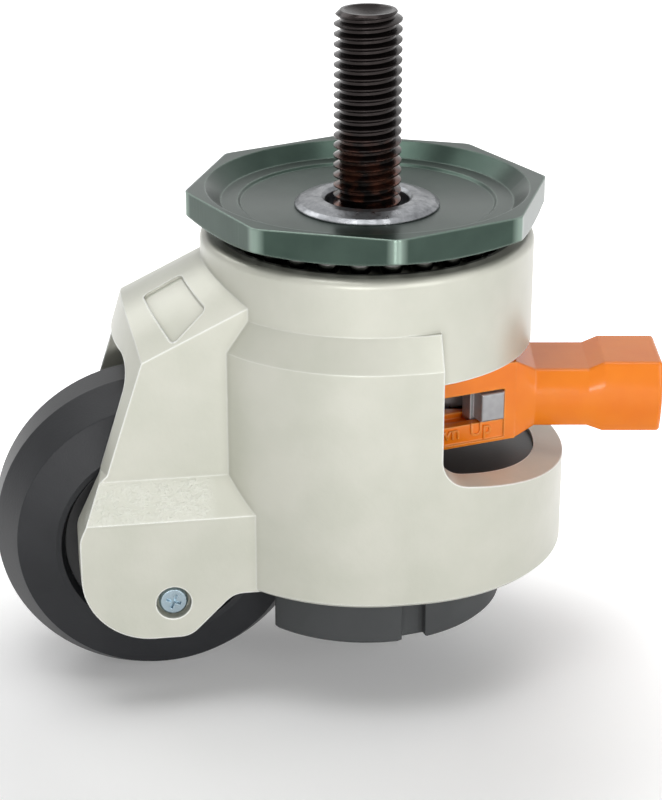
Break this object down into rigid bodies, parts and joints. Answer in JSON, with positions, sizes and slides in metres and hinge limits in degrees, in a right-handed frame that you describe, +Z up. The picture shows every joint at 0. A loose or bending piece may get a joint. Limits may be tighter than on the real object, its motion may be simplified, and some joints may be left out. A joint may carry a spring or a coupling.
{
  "type": "levelling castor",
  "caption": "Stem-mounted swivel castor with a lever-worked ratchet that screws a rubber foot pad down to lift and level the wheel.",
  "frame": {"origin": "where the stem's axis meets the top plane of the mounting plate", "axes": "+Z up along the stem; the wheel trails towards -X; +X towards the lever; the axle lies along Y"},
  "size_m": [0.1022, 0.055, 0.1016],
  "materials": {
    "black_oxide_steel": "dark oxide, low sheen",
    "pressed_steel": "dark zinc plate with bright worn corners",
    "zinc_steel": "plain zinc plate",
    "ground_steel": "ground and oiled",
    "screw_steel": "bluish zinc plate",
    "painted_casting": "satin ivory powder coat",
    "tyre": "satin moulded nylon",
    "hub_plastic": "moulded",
    "lever_plastic": "satin moulded nylon",
    "selector_plastic": "silver lacquer",
    "washer_plastic": "plain",
    "black_plastic": "smooth moulded cover",
    "pad_rubber": "matt moulded rubber"
  },
  "bodies": {
    "mount": {"stem": "black_oxide_steel", "top_plate": "pressed_steel", "kingpin": "zinc_steel", "kingpin_nut": "zinc_steel", "stem_pin": "zinc_steel"},
    "housing": {"housing": "painted_casting", "swivel_washer": "zinc_steel", "thrust_washer": "zinc_steel", "lever_washer": "washer_plastic", "axle": "ground_steel", "axle_carrier_near": "zinc_steel", "axle_carrier_far": "zinc_steel", "axle_screw_near": "screw_steel", "axle_screw_far": "screw_steel", "balls": "ground_steel", "dust_cover": "black_plastic"},
    "wheel": {"tyre": "tyre", "wheel_hub": "hub_plastic", "bearing_near": "ground_steel", "bearing_far": "ground_steel", "wheel_spacer": "ground_steel"},
    "gear": {"drive_nut": "ground_steel", "ratchet_gear": "ground_steel"},
    "lever": {"lever": "lever_plastic", "lever_cover": "lever_plastic", "cover_screw_near": "screw_steel", "cover_screw_far": "screw_steel", "pawl_pin": "ground_steel"},
    "pawl": {"pawl": "ground_steel"},
    "selector": {"selector": "selector_plastic"},
    "foot": {"lead_screw": "ground_steel", "foot_plate": "zinc_steel", "foot_pad": "pad_rubber", "foot_screw": "screw_steel"}
  },
  "joints": [
    {"name": "swivel", "type": "hinge", "parent": "mount", "child": "housing", "pos_m": [0, 0, 0], "axis": [0, 0, 1], "continuous": true},
    {"name": "wheel_spin", "type": "hinge", "parent": "housing", "child": "wheel", "pos_m": [-0.033, 0, -0.0514], "axis": [0, 1, 0], "continuous": true},
    {"name": "gear_turn", "type": "hinge", "parent": "housing", "child": "gear", "pos_m": [0, 0, 0], "axis": [0, 0, 1], "range_deg": [0, 1681]},
    {"name": "foot_travel", "type": "slide", "parent": "housing", "child": "foot", "axis": [0, 0, -1], "range_m": [0, 0.014]},
    {"name": "lever_swing", "type": "hinge", "parent": "housing", "child": "lever", "pos_m": [0, 0, 0], "axis": [0, 0, 1], "range_deg": [-40, 58]},
    {"name": "selector_slide", "type": "slide", "parent": "lever", "child": "selector", "axis": [-0.9711, -0.2385, 0], "range_m": [0, 0.0075]},
    {"name": "pawl_rock", "type": "hinge", "parent": "lever", "child": "pawl", "pos_m": [0.01718, -0.00278, -0.0314], "axis": [0, 0, 1], "range_deg": [0, 12.01]}
  ],
  "couplings": [
    {"joint": "gear_turn", "follows": "foot_travel", "rad_per_m": 2094.4},
    {"joint": "pawl_rock", "follows": "selector_slide", "rad_per_m": 27.925}
  ]
}
